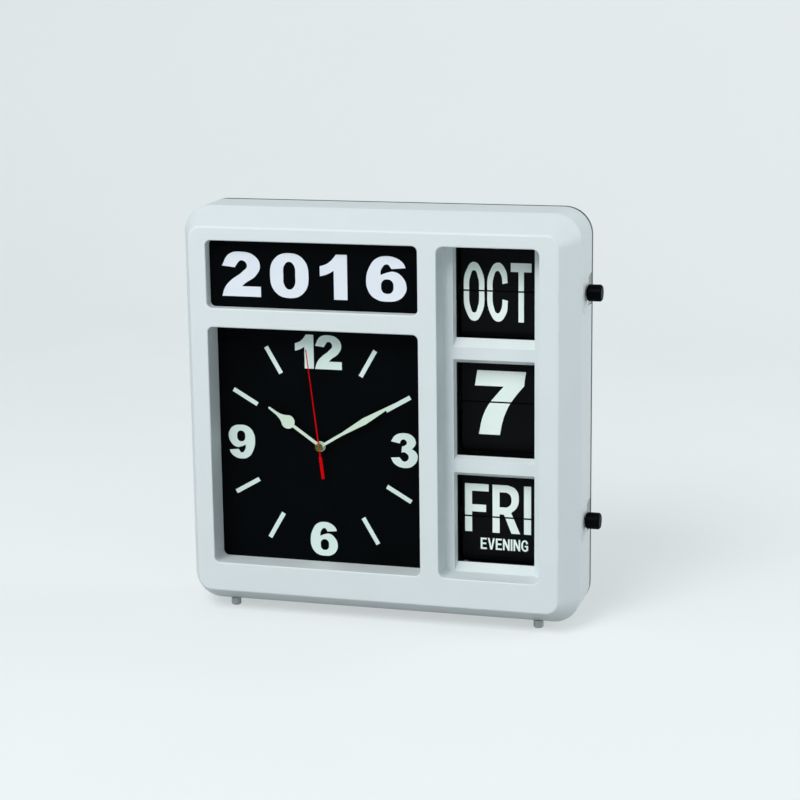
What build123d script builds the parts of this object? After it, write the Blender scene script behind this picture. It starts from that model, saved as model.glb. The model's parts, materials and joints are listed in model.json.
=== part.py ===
from build123d import *
from math import cos, hypot, radians, sin
import os

os.makedirs("parts", exist_ok=True)

# A square white calendar clock that stands on four feet.
# The front faces -Y, +X is to the right and the feet stand on Z = 0.
# Lengths are in millimetres and angles in degrees.

# Case: a face, a bevel that widens to the full size, and a straight side wall
case_w = 325.0
case_h = 328.0
case_corner_r = 22.0
bevel_side = 12.5
bevel_end = 14.0
face_corner_r = 10.0
face_round = 2.0
edge_near = 0.01
bevel_depth = 26.0
bevel_round = 4.0
housing_depth = 66.0
wall = 2.5
foot_r = 4.0
foot_h = 6.0
foot_bevel = 0.8
foot_inset = 34.0
foot_front_depth = 28.0
foot_rear_depth = 58.0

# Windows in the face, set out from the edges of the face
border_left = 14.1
border_right = 15.7
border_top = 10.9
border_bottom = 23.9
column_w = 81.1
window_gap_x = 15.2
window_gap_z = 15.5
year_h = 54.3
window_corner_r = 4.5
column_corner_r = 5.5
window_round = 1.0
year_depth = 9.5
dial_depth = 22.3
floor_depth = 21.5
lip_depth = 28.0
panel_t = 2.0
panel_lap = 2.0

# Flip windows in the floor of the column
flip_side = 7.9
flip_bar = 9.7
flip_taper_side = 1.0
flip_taper_top = 3.6

# Back cover with a pod behind the calendar drums
cover_rim = 6.0
cover_round = 1.2
pod_play = 1.5
pod_left_gap = 7.0
pod_right_gap = 18.5
pod_top_gap = 18.0
pod_bottom_gap = 32.0
pod_corner_r = 8.0
pod_round = 3.0
post_r = 4.0
post_inset = 12.0
post_reach = 90.0
left_post_reach = 105.0
right_post_reach = 40.0
screw_r = 1.45
screw_head_r = 3.0
screw_head_t = 2.0
screw_head_round = 0.9
screw_cross_w = 0.9
screw_cross_len = 3.4
screw_cross_t = 1.2
screw_len = 14.0
screw_play = 0.05
screw_pass = 0.3

# Calendar drums and leaves: the date drum holds more and thinner leaves on a larger circle
month_leaves = 12
month_rise = 2.1
month_lower_taper = 6.6
date_leaves = 31
date_rise = 4.6
date_lower_taper = 3.0
weekday_leaves = 14
weekday_rise = 1.9
weekday_lower_taper = 6.5
pin_circle_r = 7.5
pin_r = 0.5
leaf_t = 0.4
date_pin_circle_r = 12.0
date_pin_r = 0.25
date_leaf_t = 0.25
leaf_side_gap = 3.15
leaf_top_gap = 0.55
leaf_plane_depth = 35.7
split_gap = 0.8
pin_play = 0.05
pin_reach = 2.2
pin_grip = 2.0
disc_gap = 0.5
disc_t = 2.0
disc_rim = 2.2
core_inset = 3.0
shaft_r = 2.0
seat_play = 0.02
run_play = 0.05
catch_w = 5.0
catch_t = 0.8
catch_arm_t = 2.2
catch_lip = 1.8
catch_play = 0.4
catch_stand = 1.1

# Calendar frame
plate_gap = 1.0
plate_t = 2.0
plate_depth = 38.0
flange_w = 7.5
flange_h = 12.0
flange_t = 2.0
flange_inset = 8.0
frame_screw_r = 1.2
frame_screw_len = 4.5
frame_head_r = 2.3
frame_head_t = 1.4
rod_r = 3.0
rod_end_r = 1.5
rod_depth = 52.0
rod_gap = 2.5
plate_margin = 5.0

# Setting knobs on the right side
knob_r = 6.65
knob_len = 11.65
knob_gap = 1.25
knob_bevel = 1.2
knob_bore = 8.0
boss_r = 16.5
boss_t = 0.5
boss_slope = 0.7
nose_r = 6.5
mouth_half = 11.4
mouth_flare = 1.3
mouth_front = 7.2
plug_play = 0.25
plug_inset = 0.15
plug_bore_play = 0.4

# Gear teeth: rise and drop in modules, half widths as shares of the tooth pitch
tooth_rise = 0.85
tooth_drop = 1.1
tooth_tip_half = 0.12
tooth_root_half = 0.26

# Dial movement, hands and their small gears
movement_w = 57.0
movement_t = 16.3
movement_wall = 1.7
bush_r = 4.0
bush_len = 5.4
nut_flats = 11.0
nut_t = 2.0
hour_pipe_r = 2.5
minute_arbor_r = 1.7
second_arbor_r = 0.5
second_bore_len = 2.5
spindle_r = 1.2
gear_t = 1.2
gear_gap = 0.6
fine_module = 0.5
cannon_teeth = 12
minute_teeth = 36
minute_pinion_teeth = 10
hour_teeth = 40
set_knob_r = 6.5
set_knob_t = 4.0
set_knob_teeth = 24
hour_hand_depth = 18.2
minute_hand_depth = 16.2
second_hand_depth = 14.4
hand_t = 0.5
hour_angle = 305.0
minute_angle = 58.6
second_angle = 353.2
hour_len = 52.9
hour_bulb_at = 33.0
hour_bulb_r = 5.6
hour_shoulder_angle = 50.0
hour_neck_at = 44.6
hour_neck_half = 1.2
hour_neck_slope = 0.12
hour_stem_half = 1.25
hour_tip_half = 0.8
hour_hub_r = 4.3
minute_len = 73.4
minute_flare_at = 22.5
minute_wide_at = 44.3
minute_wide_half = 2.7
minute_stem_half = 1.15
minute_tip_half = 0.5
minute_hub_r = 3.6
second_len = 80.4
second_half = 0.6
second_tip_half = 0.35
second_tail = 26.1
second_weight_len = 18.3
second_weight_half = 1.25
second_weight_round = 0.4
second_cap_r = 3.3
second_cap_t = 0.8
aa_r = 7.1
aa_len = 50.0
aa_play = 0.3
contact_t = 0.4

# Calendar drive and its D cell
drive_module = 0.8
drive_gear_teeth = 30
drive_pinion_teeth = 12
drive_gear_t = 3.0
drive_gear_gap = 1.5
drive_box_x = 30.0
drive_box_y = 28.0
drive_box_z = 30.0
drive_box_round = 2.0
drive_box_gap = 4.0
drive_arbor_r = 1.5
drive_arbor_sink = 4.0
drive_post_r = 2.5
drive_post_inset = 4.0
d_cell_r = 16.6
d_cell_len = 59.0
d_nub_r = 4.5
d_nub_len = 1.5
d_play = 0.4
d_box_wall = 2.0
d_box_front_gap = 9.7
d_box_top_gap = 14.0
door_lap = 3.0
door_t = 2.0
door_play = 0.3
door_grip_w = 24.0
door_grip_h = 4.0
door_grip_t = 1.0
door_grip_pitch = 7.0
door_grip_count = 3
well_play = 5.0
well_wall = 2.0
well_lap = 2.0

# Places that follow from the driving dimensions
face_w = case_w - 2 * bevel_side
face_h = case_h - 2 * bevel_end
back_depth = housing_depth + cover_rim
knob_reach = knob_gap + knob_len
case_x = -knob_reach / 2
case_z = foot_h + case_h / 2
foot_x = case_w / 2 - foot_inset

column_right = face_w / 2 - border_right
column_left = column_right - column_w
column_x = (column_left + column_right) / 2
window_left = border_left - face_w / 2
window_right = column_left - window_gap_x
window_w = window_right - window_left
window_x = (window_left + window_right) / 2
window_top = face_h / 2 - border_top
window_bottom = border_bottom - face_h / 2
column_h = window_top - window_bottom
column_z = (window_top + window_bottom) / 2
year_z = window_top - year_h / 2
dial_top = window_top - year_h - window_gap_z
dial_h = dial_top - window_bottom
dial_z = (dial_top + window_bottom) / 2

flip_w = column_w - 2 * flip_side
flip_h = (column_h - 2 * flip_bar) / 3
flip_pitch = flip_h + flip_bar
leaf_w = flip_w - 2 * leaf_side_gap
date_pin_rise = date_pin_circle_r * sin(radians(180 / date_leaves))
leaf_len = flip_h / 2 - flip_taper_top - leaf_top_gap - date_rise - date_pin_rise


def front_plane(depth, x=0.0, z=0.0):
    """Plane at a depth behind the face: sketch x is +X, sketch y is +Z, normal to the front."""
    return Plane(origin=(case_x + x, front_y + depth, case_z + z), x_dir=(1, 0, 0), z_dir=(0, -1, 0))


def side_plane(x, depth=0.0, z=0.0):
    """Plane across the width: sketch x goes deeper, sketch y is +Z, normal to the right."""
    return Plane(origin=(case_x + x, front_y + depth, case_z + z), x_dir=(0, 1, 0), z_dir=(1, 0, 0))


def level_plane(height):
    """Level plane: sketch x is +X from the middle of the case, sketch y is the depth."""
    return Plane(origin=(case_x, front_y, height), x_dir=(1, 0, 0), z_dir=(0, 0, 1))


def hand_plane(depth, angle):
    """Plane of a hand: sketch x points along the hand, which stands at a clockwise angle from twelve."""
    along = (sin(radians(angle)), 0, cos(radians(angle)))
    place = (case_x + window_x, front_y + depth, case_z + dial_z)
    return Plane(origin=place, x_dir=along, z_dir=(0, -1, 0))


def gear_face(teeth, module, tooth_angle):
    """Face of a toothed wheel with one tooth at the given angle, thinned for backlash."""
    tip = module * (teeth / 2 + tooth_rise)
    root = module * (teeth / 2 - tooth_drop)
    flanks = (
        (-tooth_root_half, root),
        (-tooth_tip_half, tip),
        (tooth_tip_half, tip),
        (tooth_root_half, root),
    )
    corners = []
    for tooth in range(teeth):
        for share, radius in flanks:
            angle = radians(tooth_angle + (tooth + share) * 360 / teeth)
            corners.append((radius * cos(angle), radius * sin(angle)))
    Polygon(*corners, align=None)


def save(part, name):
    """Label a finished piece and write it."""
    part.label = name
    export_step(part, f"parts/{name}.step")


class FlipModule:
    """One drum of the calendar, with its place, leaf count and leaf sizes."""

    def __init__(self, name, row, leaves, circle_r, pin, thickness, rise, lower_taper):
        self.name = name
        self.leaves = leaves
        self.pin_circle_r = circle_r
        self.pin_r = pin
        self.leaf_t = thickness
        self.lower_taper = lower_taper
        self.window_z = window_top - flip_h / 2 - row * flip_pitch
        self.z = self.window_z + rise
        self.step = 360 / leaves
        self.depth = leaf_plane_depth + circle_r * cos(radians(self.step / 2))
        self.pin_rise = circle_r * sin(radians(self.step / 2))
        self.tail = self.pin_rise - split_gap / 2
        self.leaf_top = self.z + self.pin_rise + leaf_len
        self.reach_up = hypot(self.depth - leaf_plane_depth, self.pin_rise + leaf_len)
        self.reach_down = circle_r + leaf_len

    def leaf_plane(self, x, pin_angle, lean):
        """Plane across a leaf: origin on its pin, sketch x towards its tip, which leans back."""
        pin_y = front_y + self.depth - self.pin_circle_r * cos(radians(pin_angle))
        pin_z = case_z + self.z + self.pin_circle_r * sin(radians(pin_angle))
        along = (0, sin(radians(lean)), cos(radians(lean)))
        return Plane(origin=(case_x + x, pin_y, pin_z), x_dir=along, z_dir=(1, 0, 0))

    def upper_planes(self, x):
        """Leaves that still wait: a pinwheel that turns back over the drum from the upright front leaf."""
        count = (self.leaves + 1) // 2
        return [self.leaf_plane(x, (k + 0.5) * self.step, k * self.step) for k in range(count)]

    def lower_planes(self, x):
        """Leaves that have fallen: each hangs straight down from its pin, the front one first."""
        count = self.leaves // 2
        return [self.leaf_plane(x, -(k + 0.5) * self.step, 180) for k in range(count)]


month = FlipModule(
    "month", 0, month_leaves, pin_circle_r, pin_r, leaf_t,
    month_rise, month_lower_taper,
)
date = FlipModule(
    "date", 1, date_leaves, date_pin_circle_r, date_pin_r, date_leaf_t,
    date_rise, date_lower_taper,
)
weekday = FlipModule(
    "weekday", 2, weekday_leaves, pin_circle_r, pin_r, leaf_t,
    weekday_rise, weekday_lower_taper,
)
modules = (month, date, weekday)
knob_modules = (month, weekday)

pod_rise = max(module.depth + module.reach_up for module in modules) + pod_play + wall - back_depth
overall_depth = back_depth + pod_rise
front_y = -overall_depth / 2

leaf_left = column_x - leaf_w / 2
disc_inner = leaf_w / 2 + disc_gap
disc_outer = disc_inner + disc_t
plate_inner = disc_outer + plate_gap
plate_outer = plate_inner + plate_t

side_post_x = case_w / 2 - post_inset
end_post_z = case_h / 2 - post_inset
post_spots = [
    (-side_post_x, left_post_reach),
    (-side_post_x, -left_post_reach),
    (side_post_x, date.z + right_post_reach),
    (side_post_x, date.z - right_post_reach),
    (-post_reach, end_post_z),
    (post_reach, end_post_z),
    (-post_reach, -end_post_z),
    (post_reach, -end_post_z),
]

flange_x = plate_outer + flange_w / 2
flange_spots = [
    (column_x + side * flange_x, z)
    for side in (-1, 1)
    for z in (window_top - flange_inset, window_bottom + flange_inset)
]


def notch_outline(module, grow):
    """Notch of a knob shaft: a round nose about the shaft, and a mouth that flares to the back edge."""
    nose = nose_r + grow
    mouth_start = module.depth + mouth_front - grow
    with Locations((module.depth, 0)):
        Circle(nose)
    with Locations(((module.depth + housing_depth) / 2, 0)):
        Rectangle(housing_depth - module.depth, 2 * nose)
    mouth = (
        (mouth_start, mouth_half + grow),
        (housing_depth, mouth_half + mouth_flare + grow),
        (housing_depth, -mouth_half - mouth_flare - grow),
        (mouth_start, -mouth_half - grow),
    )
    Polygon(*mouth, align=None)


# Outer form of the front housing
with BuildPart() as case_form:
    with BuildSketch(front_plane(0)):
        RectangleRounded(face_w, face_h, face_corner_r)
    with BuildSketch(front_plane(bevel_depth)):
        RectangleRounded(case_w, case_h, case_corner_r)
    loft(ruled=True)
    with BuildSketch(front_plane(bevel_depth)):
        RectangleRounded(case_w, case_h, case_corner_r)
    extrude(amount=bevel_depth - housing_depth)
    bevel_y = front_y + bevel_depth
    bevel_edges = case_form.edges().filter_by_position(Axis.Y, bevel_y - edge_near, bevel_y + edge_near)
    fillet(bevel_edges, bevel_round)
    fillet(case_form.faces().sort_by(Axis.Y)[0].edges(), face_round)

# The same form, hollowed out
with BuildPart() as shell_form:
    add(case_form.part)
    with BuildSketch(front_plane(wall)):
        RectangleRounded(face_w - 2 * wall, face_h - 2 * wall, face_corner_r)
    with BuildSketch(front_plane(bevel_depth)):
        RectangleRounded(case_w - 2 * wall, case_h - 2 * wall, case_corner_r - wall)
    loft(ruled=True, mode=Mode.SUBTRACT)
    with BuildSketch(front_plane(bevel_depth)):
        RectangleRounded(case_w - 2 * wall, case_h - 2 * wall, case_corner_r - wall)
    extrude(amount=bevel_depth - housing_depth, mode=Mode.SUBTRACT)

# Front housing: shell, window walls, column floor and screw posts in one moulding
with BuildPart() as front_housing:
    with BuildSketch(front_plane(0, window_x, year_z)):
        Rectangle(window_w + 2 * wall, year_h + 2 * wall)
    extrude(amount=-year_depth)
    with BuildSketch(front_plane(0, window_x, dial_z)):
        Rectangle(window_w + 2 * wall, dial_h + 2 * wall)
    extrude(amount=-dial_depth)
    with BuildSketch(front_plane(0, column_x, column_z)):
        Rectangle(column_w + 2 * wall, column_h + 2 * wall)
    extrude(amount=-lip_depth)
    with BuildSketch(front_plane(0)):
        with Locations(*post_spots):
            Circle(post_r)
    extrude(amount=-housing_depth)
    add(case_form.part, mode=Mode.INTERSECT)
    add(shell_form.part)

    with BuildSketch(front_plane(0, window_x, year_z)):
        RectangleRounded(window_w, year_h, window_corner_r)
    extrude(amount=-year_depth, mode=Mode.SUBTRACT)
    with BuildSketch(front_plane(0, window_x, dial_z)):
        RectangleRounded(window_w, dial_h, window_corner_r)
    extrude(amount=-dial_depth, mode=Mode.SUBTRACT)
    with BuildSketch(front_plane(0, column_x, column_z)):
        RectangleRounded(column_w, column_h, column_corner_r)
    extrude(amount=-floor_depth, mode=Mode.SUBTRACT)
    fillet(
        front_housing.edges().filter_by_position(Axis.Y, front_y - edge_near, front_y + edge_near)
        .filter_by(lambda edge: edge.center().X > case_x + window_left - wall)
        .filter_by(lambda edge: edge.center().X < case_x + column_right + wall)
        .filter_by(lambda edge: edge.center().Z > case_z + window_bottom - wall)
        .filter_by(lambda edge: edge.center().Z < case_z + window_top + wall),
        window_round,
    )

    for module in modules:
        lip_h = flip_h - flip_taper_top - module.lower_taper
        lip_z = module.window_z + (module.lower_taper - flip_taper_top) / 2
        with BuildSketch(front_plane(floor_depth, column_x, module.window_z)):
            Rectangle(flip_w, flip_h)
        with BuildSketch(front_plane(lip_depth, column_x, lip_z)):
            Rectangle(flip_w - 2 * flip_taper_side, lip_h)
        loft(ruled=True, mode=Mode.SUBTRACT)

    with BuildSketch(front_plane(housing_depth)):
        with Locations(*post_spots):
            Circle(screw_r + screw_play)
    extrude(amount=screw_len - cover_rim + screw_r, mode=Mode.SUBTRACT)
    with BuildSketch(front_plane(lip_depth)):
        with Locations(*flange_spots):
            Circle(frame_screw_r + screw_play)
    extrude(amount=frame_screw_len - flange_t + frame_screw_r, mode=Mode.SUBTRACT)

    for module in knob_modules:
        with BuildSketch(side_plane(case_w / 2 - wall, module.depth, module.z)):
            Circle(boss_r + boss_slope)
        extrude(amount=wall)
        with BuildSketch(side_plane(case_w / 2, module.depth, module.z)):
            Circle(boss_r + boss_slope)
        with BuildSketch(side_plane(case_w / 2 + boss_t, module.depth, module.z)):
            Circle(boss_r)
        loft()
        with BuildSketch(side_plane(case_w / 2 - wall, 0, module.z)):
            notch_outline(module, 0)
        extrude(amount=wall + boss_t, mode=Mode.SUBTRACT)
save(front_housing.part, "front_housing")

# Grey plugs that close the notches once the shafts have been dropped in
with BuildPart() as shaft_slot_plugs:
    for module in knob_modules:
        with BuildSketch(side_plane(case_w / 2 - wall, 0, module.z)):
            notch_outline(module, -plug_play)
            with Locations((module.depth, 0)):
                Circle(shaft_r + plug_bore_play, mode=Mode.SUBTRACT)
        extrude(amount=wall - plug_inset)
save(shaft_slot_plugs.part, "shaft_slot_plugs")

# Year card and dial panel, each seated on the back edge of its window wall
with BuildPart() as year_panel:
    with BuildSketch(front_plane(year_depth, window_x, year_z)):
        Rectangle(window_w + 2 * panel_lap, year_h + 2 * panel_lap)
    extrude(amount=-panel_t)
save(year_panel.part, "year_panel")

with BuildPart() as dial_panel:
    with BuildSketch(front_plane(dial_depth, window_x, dial_z)):
        Rectangle(window_w + 2 * panel_lap, dial_h + 2 * panel_lap)
        Circle(bush_r + run_play, mode=Mode.SUBTRACT)
    extrude(amount=-panel_t)
save(dial_panel.part, "dial_panel")

# Feet under the case
with BuildPart() as feet:
    with BuildSketch(level_plane(0)):
        for depth in (foot_front_depth, foot_rear_depth):
            with Locations((-foot_x, depth), (foot_x, depth)):
                Circle(foot_r)
    extrude(amount=foot_h)
    chamfer(feet.faces().group_by(Axis.Z)[0].edges(), foot_bevel)
save(feet.part, "feet")

# Back cover: rim, plate, pod, movement well and D cell box
pod_left = column_left - pod_left_gap
pod_right = case_w / 2 - pod_right_gap
pod_top = case_h / 2 - pod_top_gap
pod_bottom = pod_bottom_gap - case_h / 2
pod_w = pod_right - pod_left
pod_h = pod_top - pod_bottom
pod_x = (pod_left + pod_right) / 2
pod_z = (pod_top + pod_bottom) / 2
well_w = movement_w + 2 * well_play
well_front = dial_depth + panel_t + movement_t - well_lap
d_space_w = d_cell_len + d_nub_len + 2 * (contact_t + d_play)
d_space_h = 2 * (d_cell_r + d_play)
d_box_w = d_space_w + 2 * (door_lap + d_box_wall)
d_box_h = d_space_h + 2 * (door_lap + d_box_wall)
d_box_x = window_x
d_box_z = dial_z - well_w / 2 - well_wall - d_box_top_gap - d_box_h / 2
d_box_front = dial_depth + panel_t + d_box_front_gap
d_space_front = d_box_front + d_box_wall
door_depth = d_space_front + d_space_h
door_back = door_depth + door_t
d_box_back = max(door_back, back_depth)
d_cell_depth = door_depth - d_play - d_cell_r

with BuildPart() as back_cover:
    with BuildSketch(front_plane(housing_depth)):
        RectangleRounded(case_w, case_h, case_corner_r)
    extrude(amount=-cover_rim)
    fillet(back_cover.faces().sort_by(Axis.Y)[-1].edges(), cover_round)
    with BuildSketch(front_plane(back_depth - wall, pod_x, pod_z)):
        RectangleRounded(pod_w, pod_h, pod_corner_r)
    extrude(amount=-(wall + pod_rise))
    fillet(back_cover.faces().sort_by(Axis.Y)[-1].edges(), min(pod_round, pod_rise / 2))
    with BuildSketch(front_plane(housing_depth)):
        RectangleRounded(case_w - 2 * wall, case_h - 2 * wall, case_corner_r - wall)
    extrude(amount=wall - cover_rim, mode=Mode.SUBTRACT)
    with BuildSketch(front_plane(back_depth - wall, pod_x, pod_z)):
        RectangleRounded(pod_w - 2 * wall, pod_h - 2 * wall, pod_corner_r - wall)
    extrude(amount=-pod_rise, mode=Mode.SUBTRACT)
    with BuildSketch(front_plane(housing_depth)):
        with Locations(*post_spots):
            Circle(post_r)
    extrude(amount=wall - cover_rim)
    with BuildSketch(front_plane(well_front, window_x, dial_z)):
        Rectangle(well_w + 2 * well_wall, well_w + 2 * well_wall)
    extrude(amount=well_front - back_depth + wall / 2)
    with BuildSketch(front_plane(d_box_front, d_box_x, d_box_z)):
        Rectangle(d_box_w, d_box_h)
    extrude(amount=d_box_front - d_box_back)
    with BuildSketch(front_plane(well_front, window_x, dial_z)):
        Rectangle(well_w, well_w)
    extrude(amount=well_front - back_depth, mode=Mode.SUBTRACT)
    with BuildSketch(front_plane(d_space_front, d_box_x, d_box_z)):
        Rectangle(d_space_w, d_space_h)
    extrude(amount=d_space_front - d_box_back, mode=Mode.SUBTRACT)
    with BuildSketch(front_plane(door_depth, d_box_x, d_box_z)):
        Rectangle(d_space_w + 2 * door_lap, d_space_h + 2 * door_lap)
    extrude(amount=door_depth - d_box_back, mode=Mode.SUBTRACT)
    with BuildSketch(front_plane(housing_depth)):
        with Locations(*post_spots):
            Circle(screw_r + screw_pass)
    extrude(amount=-cover_rim, mode=Mode.SUBTRACT)
save(back_cover.part, "back_cover")

with BuildPart() as back_cover_screws:
    with BuildSketch(front_plane(back_depth)):
        with Locations(*post_spots):
            Circle(screw_r)
    extrude(amount=screw_len)
    with BuildSketch(front_plane(back_depth)):
        with Locations(*post_spots):
            Circle(screw_head_r)
    extrude(amount=-screw_head_t)
    fillet(back_cover_screws.faces().group_by(Axis.Y)[-1].edges(), screw_head_round)
    with BuildSketch(front_plane(back_depth + screw_head_t)):
        with Locations(*post_spots):
            Rectangle(screw_cross_len, screw_cross_w)
            Rectangle(screw_cross_w, screw_cross_len)
    extrude(amount=screw_cross_t, mode=Mode.SUBTRACT)
save(back_cover_screws.part, "back_cover_screws")

# Lift-off door over the D cell, with finger ribs
with BuildPart() as battery_door:
    with BuildSketch(front_plane(door_depth, d_box_x, d_box_z)):
        Rectangle(d_space_w + 2 * (door_lap - door_play), d_space_h + 2 * (door_lap - door_play))
    extrude(amount=-door_t)
    with BuildSketch(front_plane(door_back, d_box_x, d_box_z)):
        with GridLocations(0, door_grip_pitch, 1, door_grip_count):
            SlotOverall(door_grip_w, door_grip_h)
    extrude(amount=-door_grip_t)
save(battery_door.part, "battery_door")

# D cell with its nub, lying across the box between two contact plates
d_cell_left = d_box_x - d_space_w / 2 + contact_t + d_play
with BuildPart() as d_battery:
    with BuildSketch(side_plane(d_cell_left, d_cell_depth, d_box_z)):
        Circle(d_cell_r)
    extrude(amount=d_cell_len)
    with BuildSketch(side_plane(d_cell_left + d_cell_len, d_cell_depth, d_box_z)):
        Circle(d_nub_r)
    extrude(amount=d_nub_len)
save(d_battery.part, "d_battery")

with BuildPart() as d_battery_contacts:
    for x in (d_box_x - d_space_w / 2, d_box_x + d_space_w / 2 - contact_t):
        with BuildSketch(side_plane(x, d_cell_depth, d_box_z)):
            Rectangle(2 * d_nub_r, 2 * d_nub_r)
        extrude(amount=contact_t)
save(d_battery_contacts.part, "d_battery_contacts")

# Dial movement: a square case with a threaded bush, a rear lid and a trough for one AA cell
movement_front = dial_depth + panel_t
movement_back = movement_front + movement_t
gear_front = movement_front + movement_wall
aa_space_h = 2 * (aa_r + aa_play)
aa_space_w = aa_len + 2 * (contact_t + aa_play)
aa_z = dial_z - movement_w / 2 + movement_wall / 2 + aa_space_h / 2
aa_depth = gear_front + aa_play + aa_r
gear_room_bottom = aa_z + aa_space_h / 2 + movement_wall / 2
gear_room_top = dial_z + movement_w / 2 - movement_wall
gear_room_h = gear_room_top - gear_room_bottom
gear_room_z = (gear_room_top + gear_room_bottom) / 2
wheel_offset = fine_module * (cannon_teeth + minute_teeth) / 2
hour_module = 2 * wheel_offset / (minute_pinion_teeth + hour_teeth)

with BuildPart() as movement_case:
    with BuildSketch(front_plane(movement_front, window_x, dial_z)):
        RectangleRounded(movement_w, movement_w, movement_wall)
    extrude(amount=-movement_t)
    with BuildSketch(front_plane(movement_front, window_x, dial_z)):
        Circle(bush_r)
    extrude(amount=bush_len)
    with BuildSketch(front_plane(gear_front, window_x, gear_room_z)):
        Rectangle(movement_w - 2 * movement_wall, gear_room_h)
    extrude(amount=-movement_t, mode=Mode.SUBTRACT)
    with BuildSketch(front_plane(gear_front, window_x, aa_z)):
        Rectangle(aa_space_w, aa_space_h)
    extrude(amount=-movement_t, mode=Mode.SUBTRACT)
    with BuildSketch(front_plane(gear_front, window_x, dial_z)):
        Circle(hour_pipe_r + run_play)
    extrude(amount=movement_wall + bush_len, mode=Mode.SUBTRACT)
    with BuildSketch(front_plane(gear_front, window_x, dial_z + wheel_offset)):
        Circle(spindle_r + run_play)
    extrude(amount=movement_wall / 2, mode=Mode.SUBTRACT)
save(movement_case.part, "movement_case")

lid_front = movement_back - movement_wall
with BuildPart() as movement_lid:
    with BuildSketch(front_plane(lid_front, window_x, gear_room_z)):
        Rectangle(movement_w - 2 * (movement_wall + seat_play), gear_room_h - 2 * seat_play)
    extrude(amount=-movement_wall)
    with BuildSketch(front_plane(lid_front, window_x, dial_z)):
        Circle(bush_r)
    extrude(amount=movement_wall)
    with BuildSketch(front_plane(lid_front - movement_wall, window_x, dial_z)):
        Circle(second_arbor_r + run_play)
    extrude(amount=-second_bore_len, mode=Mode.SUBTRACT)
    with BuildSketch(front_plane(lid_front, window_x, dial_z + wheel_offset)):
        Circle(spindle_r + run_play)
    extrude(amount=-movement_wall, mode=Mode.SUBTRACT)
save(movement_lid.part, "movement_lid")

with BuildPart() as movement_nut:
    with BuildSketch(front_plane(dial_depth, window_x, dial_z)):
        RegularPolygon(nut_flats / 2, 6, major_radius=False)
        Circle(bush_r + seat_play, mode=Mode.SUBTRACT)
    extrude(amount=nut_t)
save(movement_nut.part, "movement_nut")

with BuildPart() as aa_battery:
    with BuildSketch(side_plane(window_x - aa_len / 2, aa_depth, aa_z)):
        Circle(aa_r)
    extrude(amount=aa_len)
save(aa_battery.part, "aa_battery")

with BuildPart() as aa_contacts:
    for x in (window_x - aa_space_w / 2, window_x + aa_space_w / 2 - contact_t):
        with BuildSketch(side_plane(x, aa_depth, aa_z)):
            Rectangle(aa_r, aa_r)
        extrude(amount=contact_t)
save(aa_contacts.part, "aa_contacts")

# Motion work: hour wheel on its pipe, minute arbor with its pinion, and the wheel that links them
hour_gear_depth = gear_front + gear_gap
link_depth = hour_gear_depth + gear_t + gear_gap
with BuildPart() as hour_wheel:
    with BuildSketch(front_plane(hour_gear_depth, window_x, dial_z)):
        gear_face(hour_teeth, hour_module, 90 + 180 / hour_teeth)
    extrude(amount=-gear_t)
    with BuildSketch(front_plane(hour_gear_depth, window_x, dial_z)):
        Circle(hour_pipe_r)
    extrude(amount=hour_gear_depth - hour_hand_depth + hand_t)
    with BuildSketch(front_plane(hour_gear_depth + gear_t, window_x, dial_z)):
        Circle(minute_arbor_r + run_play)
    extrude(amount=hour_gear_depth + gear_t - hour_hand_depth + hand_t, mode=Mode.SUBTRACT)
save(hour_wheel.part, "hour_wheel")

with BuildPart() as minute_arbor:
    with BuildSketch(front_plane(link_depth, window_x, dial_z)):
        gear_face(cannon_teeth, fine_module, 90)
    extrude(amount=-gear_t)
    with BuildSketch(front_plane(link_depth + gear_t, window_x, dial_z)):
        Circle(minute_arbor_r)
    extrude(amount=link_depth + gear_t - minute_hand_depth + hand_t)
    with BuildSketch(front_plane(link_depth + gear_t, window_x, dial_z)):
        Circle(second_arbor_r + run_play)
    extrude(amount=link_depth + gear_t - minute_hand_depth + hand_t, mode=Mode.SUBTRACT)
save(minute_arbor.part, "minute_arbor")

set_knob_depth = movement_back + gear_gap
spindle_front = gear_front - movement_wall / 2 + run_play
with BuildPart() as minute_wheel:
    with BuildSketch(front_plane(link_depth, window_x, dial_z + wheel_offset)):
        gear_face(minute_teeth, fine_module, 270 + 180 / minute_teeth)
    extrude(amount=-gear_t)
    with BuildSketch(front_plane(hour_gear_depth, window_x, dial_z + wheel_offset)):
        gear_face(minute_pinion_teeth, hour_module, 270)
    extrude(amount=hour_gear_depth - link_depth)
    with BuildSketch(front_plane(spindle_front, window_x, dial_z + wheel_offset)):
        Circle(spindle_r)
    extrude(amount=spindle_front - set_knob_depth - set_knob_t / 2)
save(minute_wheel.part, "minute_wheel")

with BuildPart() as time_set_knob:
    with BuildSketch(front_plane(set_knob_depth, window_x, dial_z + wheel_offset)):
        gear_face(set_knob_teeth, 2 * set_knob_r / set_knob_teeth, 0)
    extrude(amount=-set_knob_t)
    with BuildSketch(front_plane(set_knob_depth, window_x, dial_z + wheel_offset)):
        Circle(spindle_r + seat_play)
    extrude(amount=-set_knob_t / 2, mode=Mode.SUBTRACT)
save(time_set_knob.part, "time_set_knob")

second_cap_depth = second_hand_depth - hand_t
with BuildPart() as second_arbor:
    with BuildSketch(front_plane(lid_front, window_x, dial_z)):
        Circle(second_arbor_r)
    extrude(amount=lid_front - second_cap_depth)
    with BuildSketch(front_plane(second_cap_depth, window_x, dial_z)):
        Circle(second_cap_r)
    extrude(amount=second_cap_t)
    fillet(second_arbor.faces().sort_by(Axis.Y)[0].edges(), second_cap_t / 2)
save(second_arbor.part, "second_arbor")

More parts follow.
